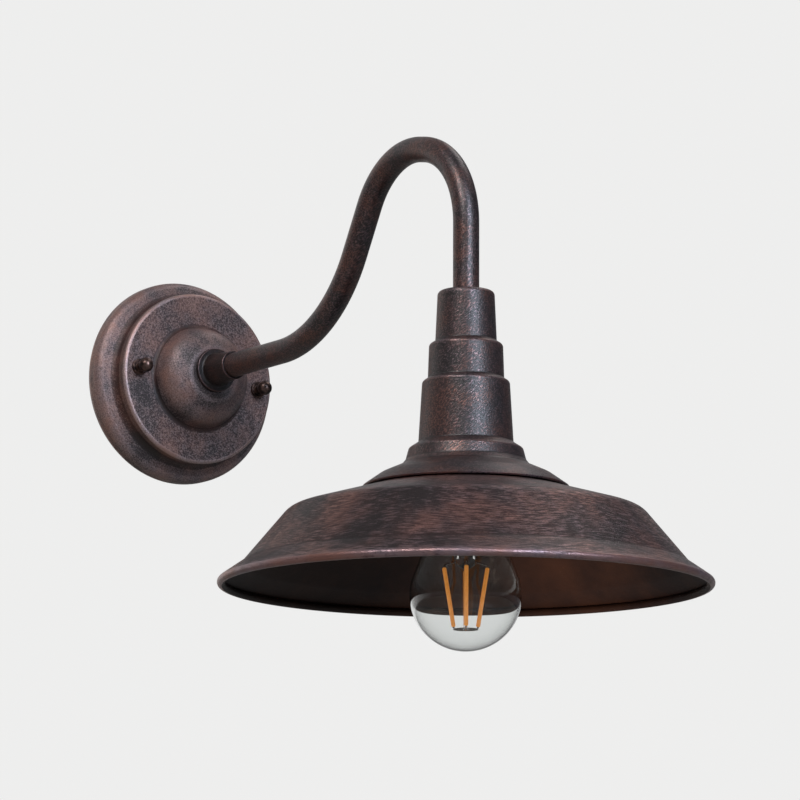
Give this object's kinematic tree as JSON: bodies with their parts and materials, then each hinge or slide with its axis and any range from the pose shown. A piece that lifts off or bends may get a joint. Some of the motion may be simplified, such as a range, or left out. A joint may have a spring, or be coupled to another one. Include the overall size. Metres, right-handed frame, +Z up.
{
  "type": "gooseneck wall sconce",
  "caption": "Gooseneck wall light: round stepped canopy on a wall bracket, bent tube arm, tiered lampholder cup and a wide open metal shade over a screw-in filament lamp.",
  "frame": {"origin": "on the wall plane, at the middle of the wall bracket, in line with the axis of the canopy and of the arm's first straight", "axes": "+Z up, +Y into the wall, -Y out into the room along the arm, +X to the right seen from the room"},
  "size_m": [0.26, 0.43, 0.2857],
  "materials": {
    "rust_bronze": "antique rust-bronze powder coat, mottled, satin",
    "rust_bronze_shade": "brushed antique rust-bronze lacquer, satin",
    "copper_bronze": "smooth coppery bronze, satin",
    "zinc_steel": "bright zinc plate",
    "brass": "plain stamped brass",
    "black_phenolic": "black moulded thermoset",
    "porcelain": "white glazed porcelain",
    "clear_glass": "clear",
    "lamp_cap_metal": "nickel-plated sheet",
    "black_glass": "black cap glass",
    "solder": "dull solder",
    "amber_filament": "amber phosphor coat",
    "nickel_wire": "drawn wire",
    "grey_nylon": "moulded nylon",
    "brown_pvc": "insulated copper wire",
    "blue_pvc": "insulated copper wire",
    "earth_pvc": "green insulated copper wire"
  },
  "bodies": {
    "root": {"wall_bracket": "zinc_steel", "canopy_screws": "zinc_steel", "screw_nuts": "zinc_steel", "earth_screw": "brass", "canopy": "rust_bronze", "arm_collar": "rust_bronze", "gooseneck_tube": "rust_bronze", "arm_nipple": "zinc_steel", "arm_washer": "zinc_steel", "arm_locknut": "zinc_steel", "cup_nipple": "zinc_steel", "cup_washer": "zinc_steel", "cup_locknut": "zinc_steel", "socket_cup": "rust_bronze", "holder_cap": "black_phenolic", "holder_skirt": "black_phenolic", "holder_core": "porcelain", "screw_shell": "brass", "centre_contact": "brass", "holder_terminals": "brass", "shade_ring": "black_phenolic", "shade": "rust_bronze_shade", "terminal_block": "grey_nylon", "block_screw": "zinc_steel", "live_wire": "brown_pvc", "earth_wire": "earth_pvc", "neutral_wire": "blue_pvc", "earth_link": "earth_pvc"},
    "bulb_rise": {"bulb_tip": "solder"},
    "bulb": {"bulb_glass": "clear_glass", "bulb_cap": "lamp_cap_metal", "bulb_insulator": "black_glass", "bulb_stem": "clear_glass", "filaments": "amber_filament", "filament_wires": "nickel_wire"},
    "nut_left": {"ball_nut_left": "copper_bronze"},
    "nut_right": {"ball_nut_right": "copper_bronze"}
  },
  "joints": [
    {"name": "bulb_travel", "type": "slide", "parent": "root", "child": "bulb_rise", "axis": [0, 0, -1], "range_m": [0, 0.01815]},
    {"name": "bulb_turn", "type": "hinge", "parent": "bulb_rise", "child": "bulb", "pos_m": [0, -0.3, -0.1], "axis": [0, 0, -1], "range_deg": [0, 1800]},
    {"name": "nut_left_travel", "type": "slide", "parent": "root", "child": "nut_left", "axis": [0, -1, 0], "range_m": [0, 0.0075]},
    {"name": "nut_right_travel", "type": "slide", "parent": "root", "child": "nut_right", "axis": [0, -1, 0], "range_m": [0, 0.0075]}
  ],
  "couplings": [
    {"joint": "bulb_travel", "follows": "bulb_turn", "m_per_rad": 0.00057757}
  ]
}
